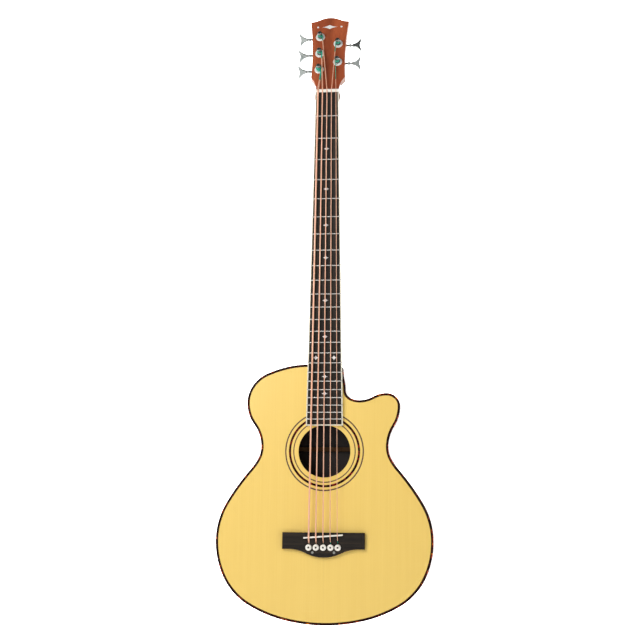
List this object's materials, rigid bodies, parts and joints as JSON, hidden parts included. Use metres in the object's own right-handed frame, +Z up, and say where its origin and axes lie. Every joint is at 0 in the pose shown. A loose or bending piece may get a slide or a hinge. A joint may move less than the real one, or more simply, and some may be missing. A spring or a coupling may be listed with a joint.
{
  "type": "acoustic bass guitar",
  "caption": "Cutaway acoustic bass guitar with a hollow body, round sound hole, pinned bridge, fretted neck and open-gear tuning machines.",
  "frame": {"origin": "on the centre line at the hanger seat, where a wall hanger takes the flare under the headstock, in the plane of the soundboard front", "axes": "+Z up the neck towards the headstock, +Y back through the body, +X towards the treble side; the soundboard faces -Y"},
  "size_m": [0.4116, 0.1248, 1.2055],
  "materials": {
    "spruce": "clear satin finish over straight-grained spruce",
    "mahogany": "gloss finish over reddish brown wood",
    "head_face": "gloss finish over reddish brown veneer",
    "inner_wood": "bare wood",
    "dark_wood": "oiled near-black hardwood",
    "tortoise": "polished dark tortoise pattern",
    "black_line": "black fibre",
    "brown_line": "brown wood fibre",
    "cream": "polished cream",
    "bone": "polished white",
    "pearl": "pearly",
    "fret_wire": "polished nickel silver",
    "string_wire": "copper-pink wound wire, with silk at the ends",
    "steel": "plain steel",
    "tuner_metal": "bright chrome",
    "gear_brass": "machined brass"
  },
  "bodies": {
    "instrument": {"soundboard": "spruce", "back_plate": "mahogany", "side_bass": "mahogany", "side_treble": "mahogany", "neck": "mahogany", "head_veneer": "head_face", "top_lining": "inner_wood", "back_lining": "inner_wood", "neck_block": "inner_wood", "tail_block": "inner_wood", "top_braces": "inner_wood", "back_braces": "inner_wood", "bridge_plate": "inner_wood", "fingerboard": "dark_wood", "bridge": "dark_wood", "top_binding": "tortoise", "back_binding": "tortoise", "rosette_ring": "tortoise", "heel_cap": "tortoise", "top_purfling": "black_line", "rosette_lines": "brown_line", "board_binding": "cream", "nut": "bone", "saddle": "bone", "position_markers": "pearl", "head_ornament": "pearl", "bridge_dots": "pearl", "frets": "fret_wire", "string_1": "string_wire", "string_2": "string_wire", "string_3": "string_wire", "string_4": "string_wire", "string_5": "string_wire", "truss_rod": "steel", "tuner_plates": "tuner_metal", "tuner_bushings": "tuner_metal", "tuner_screws": "tuner_metal"},
    "rod_nut": {"truss_rod_nut": "steel"},
    "pin_1": {"bridge_pin_1": "bone"},
    "key_1": {"tuner_key_1": "tuner_metal"},
    "post_1": {"tuner_post_1": "tuner_metal", "tuner_gear_1": "gear_brass"},
    "pin_2": {"bridge_pin_2": "bone"},
    "key_2": {"tuner_key_2": "tuner_metal"},
    "post_2": {"tuner_post_2": "tuner_metal", "tuner_gear_2": "gear_brass"},
    "pin_3": {"bridge_pin_3": "bone"},
    "key_3": {"tuner_key_3": "tuner_metal"},
    "post_3": {"tuner_post_3": "tuner_metal", "tuner_gear_3": "gear_brass"},
    "pin_4": {"bridge_pin_4": "bone"},
    "key_4": {"tuner_key_4": "tuner_metal"},
    "post_4": {"tuner_post_4": "tuner_metal", "tuner_gear_4": "gear_brass"},
    "pin_5": {"bridge_pin_5": "bone"},
    "key_5": {"tuner_key_5": "tuner_metal"},
    "post_5": {"tuner_post_5": "tuner_metal", "tuner_gear_5": "gear_brass"}
  },
  "joints": [
    {"name": "pin_1_pull", "type": "slide", "parent": "instrument", "child": "pin_1", "axis": [0, -1, 0], "range_m": [0, 0.035]},
    {"name": "key_1_turn", "type": "hinge", "parent": "instrument", "child": "key_1", "pos_m": [-0.0182, 0.03244, 0.03844], "axis": [1, 0, 0], "continuous": true},
    {"name": "post_1_turn", "type": "hinge", "parent": "instrument", "child": "post_1", "pos_m": [-0.0182, 0.01091, 0.03366], "axis": [0, -0.9744, 0.225], "continuous": true},
    {"name": "pin_2_pull", "type": "slide", "parent": "instrument", "child": "pin_2", "axis": [0, -1, 0], "range_m": [0, 0.035]},
    {"name": "key_2_turn", "type": "hinge", "parent": "instrument", "child": "key_2", "pos_m": [-0.0182, 0.04099, 0.07546], "axis": [1, 0, 0], "continuous": true},
    {"name": "post_2_turn", "type": "hinge", "parent": "instrument", "child": "post_2", "pos_m": [-0.0182, 0.01946, 0.07068], "axis": [0, -0.9744, 0.225], "continuous": true},
    {"name": "pin_3_pull", "type": "slide", "parent": "instrument", "child": "pin_3", "axis": [0, -1, 0], "range_m": [0, 0.035]},
    {"name": "key_3_turn", "type": "hinge", "parent": "instrument", "child": "key_3", "pos_m": [-0.0182, 0.04976, 0.11346], "axis": [1, 0, 0], "continuous": true},
    {"name": "post_3_turn", "type": "hinge", "parent": "instrument", "child": "post_3", "pos_m": [-0.0182, 0.02823, 0.10868], "axis": [0, -0.9744, 0.225], "continuous": true},
    {"name": "pin_4_pull", "type": "slide", "parent": "instrument", "child": "pin_4", "axis": [0, -1, 0], "range_m": [0, 0.035]},
    {"name": "key_4_turn", "type": "hinge", "parent": "instrument", "child": "key_4", "pos_m": [0.0182, 0.04593, 0.0969], "axis": [1, 0, 0], "continuous": true},
    {"name": "post_4_turn", "type": "hinge", "parent": "instrument", "child": "post_4", "pos_m": [0.0182, 0.02441, 0.09212], "axis": [0, -0.9744, 0.225], "continuous": true},
    {"name": "pin_5_pull", "type": "slide", "parent": "instrument", "child": "pin_5", "axis": [0, -1, 0], "range_m": [0, 0.035]},
    {"name": "key_5_turn", "type": "hinge", "parent": "instrument", "child": "key_5", "pos_m": [0.0182, 0.03626, 0.055], "axis": [1, 0, 0], "continuous": true},
    {"name": "post_5_turn", "type": "hinge", "parent": "instrument", "child": "post_5", "pos_m": [0.0182, 0.01473, 0.05022], "axis": [0, -0.9744, 0.225], "continuous": true},
    {"name": "truss_rod_nut_turn", "type": "hinge", "parent": "instrument", "child": "rod_nut", "pos_m": [0, 0.0099, -0.6207], "axis": [0, 0, 1], "range_deg": [-180, 180]}
  ],
  "couplings": [
    {"joint": "post_1_turn", "follows": "key_1_turn", "ratio": -0.05},
    {"joint": "post_2_turn", "follows": "key_2_turn", "ratio": -0.05},
    {"joint": "post_3_turn", "follows": "key_3_turn", "ratio": -0.05},
    {"joint": "post_4_turn", "follows": "key_4_turn", "ratio": 0.05},
    {"joint": "post_5_turn", "follows": "key_5_turn", "ratio": 0.05}
  ]
}
